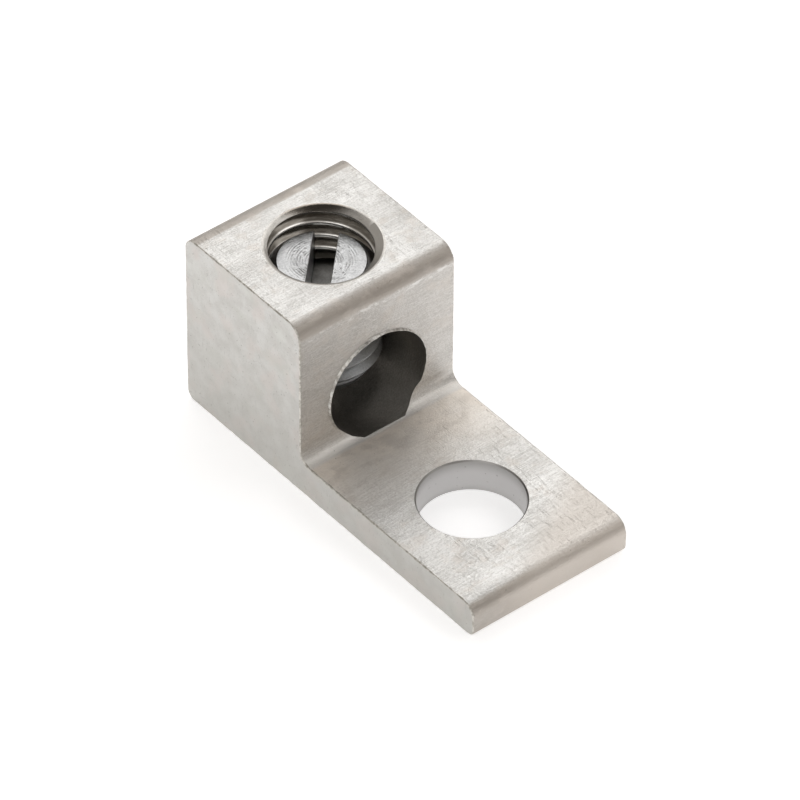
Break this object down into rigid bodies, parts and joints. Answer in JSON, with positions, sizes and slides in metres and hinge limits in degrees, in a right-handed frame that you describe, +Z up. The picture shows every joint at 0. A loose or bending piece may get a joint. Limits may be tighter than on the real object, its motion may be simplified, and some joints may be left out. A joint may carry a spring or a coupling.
{
  "type": "mechanical lug",
  "caption": "L-shaped aluminium wire lug: a block with a wire bore and a slotted set screw that clamps the wire, and a flat tongue with a stud hole.",
  "frame": {"origin": "centre of the stud hole on the lug's underside", "axes": "+X along the tongue towards its free end, away from the wire bore; +Z up through the stud hole and along the set screw; +Y across the width"},
  "size_m": [0.0292, 0.0126, 0.0138],
  "materials": {
    "body": "extruded, sawn to width and tin-plated, satin",
    "screw": "turned and zinc-plated"
  },
  "bodies": {
    "lug": {"lug_body": "body"},
    "screw": {"set_screw": "screw"}
  },
  "joints": [
    {"name": "set_screw_travel", "type": "slide", "parent": "lug", "child": "screw", "axis": [0, 0, 1], "range_m": [0, 0.00635]}
  ]
}
